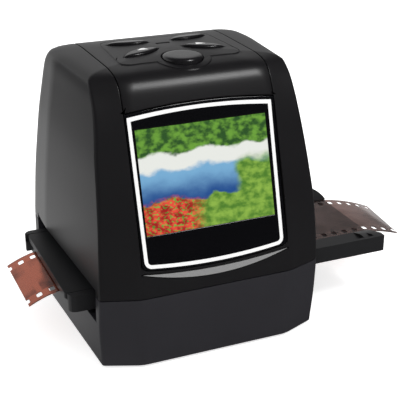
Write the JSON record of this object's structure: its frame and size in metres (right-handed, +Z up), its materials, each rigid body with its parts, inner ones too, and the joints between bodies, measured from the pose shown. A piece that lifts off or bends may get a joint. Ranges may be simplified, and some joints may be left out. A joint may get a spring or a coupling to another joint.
{
  "type": "film negative scanner",
  "caption": "Desktop 35 mm film scanner: tapered two-part housing, tilted screen, top keys, and a film carrier that slides through both sides.",
  "frame": {"origin": "middle of the whole object's footprint, on the desk", "axes": "+Z up, +Y from the screen side to the back, +X the way the film carrier slides, to the right of someone facing the screen"},
  "size_m": [0.164, 0.093, 0.1048],
  "materials": {
    "housing_plastic": "fine satin moulding",
    "base_plastic": "fine satin moulding",
    "carrier_plastic": "smooth satin",
    "key_plastic": "smooth, half gloss",
    "screen_gloss": "high gloss",
    "silver_trim": "satin silver-grey paint",
    "display": "lit display behind a clear window",
    "film": "translucent orange-brown base",
    "foot_rubber": "matte",
    "inner_plastic": "matte",
    "white_plastic": "milky",
    "circuit_board": "solder mask",
    "chip": "matte",
    "bright_metal": "nickel plated",
    "optical_glass": "polished"
  },
  "bodies": {
    "housing": {"base_shell": "base_plastic", "upper_shell": "housing_plastic", "front_cover": "housing_plastic", "foot_1": "foot_rubber", "foot_2": "foot_rubber", "foot_3": "foot_rubber", "foot_4": "foot_rubber", "screw_1": "bright_metal", "screw_2": "bright_metal", "screw_3": "bright_metal", "screw_4": "bright_metal", "screen_lens": "screen_gloss", "screen_trim": "silver_trim", "display_panel": "display", "display_frame": "inner_plastic", "main_board": "circuit_board", "image_chip": "chip", "switch_scan": "chip", "switch_front_left": "chip", "switch_front_right": "chip", "switch_rear_left": "chip", "switch_rear_right": "chip", "key_board": "circuit_board", "status_light": "screen_gloss", "guide_rail_front": "inner_plastic", "guide_rail_rear": "inner_plastic", "detent_spring": "bright_metal", "light_box": "white_plastic", "light_board": "circuit_board", "light_source": "white_plastic", "diffuser_plate": "white_plastic", "optics_bridge": "inner_plastic", "optics_column": "inner_plastic", "lens_barrel": "inner_plastic", "front_element": "optical_glass", "rear_element": "optical_glass", "sensor_spacer": "inner_plastic", "sensor_board": "circuit_board", "image_sensor": "chip", "port_board": "circuit_board", "usb_socket": "bright_metal", "card_socket": "bright_metal"},
    "carrier": {"film_tray": "carrier_plastic", "film_lid": "carrier_plastic", "film_strip": "film"},
    "scan_key": {"key_scan": "key_plastic"},
    "front_left_key": {"key_front_left": "key_plastic"},
    "front_right_key": {"key_front_right": "key_plastic"},
    "rear_left_key": {"key_rear_left": "key_plastic"},
    "rear_right_key": {"key_rear_right": "key_plastic"}
  },
  "joints": [
    {"name": "carrier_slide", "type": "slide", "parent": "housing", "child": "carrier", "axis": [1, 0, 0], "range_m": [-0.024, 0.025]},
    {"name": "scan_key_press", "type": "slide", "parent": "housing", "child": "scan_key", "axis": [0, 0, -1], "range_m": [0, 0.0006], "stiffness_N_per_m": 2000},
    {"name": "front_left_key_press", "type": "slide", "parent": "housing", "child": "front_left_key", "axis": [0, 0, -1], "range_m": [0, 0.0006], "stiffness_N_per_m": 2000},
    {"name": "front_right_key_press", "type": "slide", "parent": "housing", "child": "front_right_key", "axis": [0, 0, -1], "range_m": [0, 0.0006], "stiffness_N_per_m": 2000},
    {"name": "rear_left_key_press", "type": "slide", "parent": "housing", "child": "rear_left_key", "axis": [0, 0, -1], "range_m": [0, 0.0006], "stiffness_N_per_m": 2000},
    {"name": "rear_right_key_press", "type": "slide", "parent": "housing", "child": "rear_right_key", "axis": [0, 0, -1], "range_m": [0, 0.0006], "stiffness_N_per_m": 2000}
  ]
}
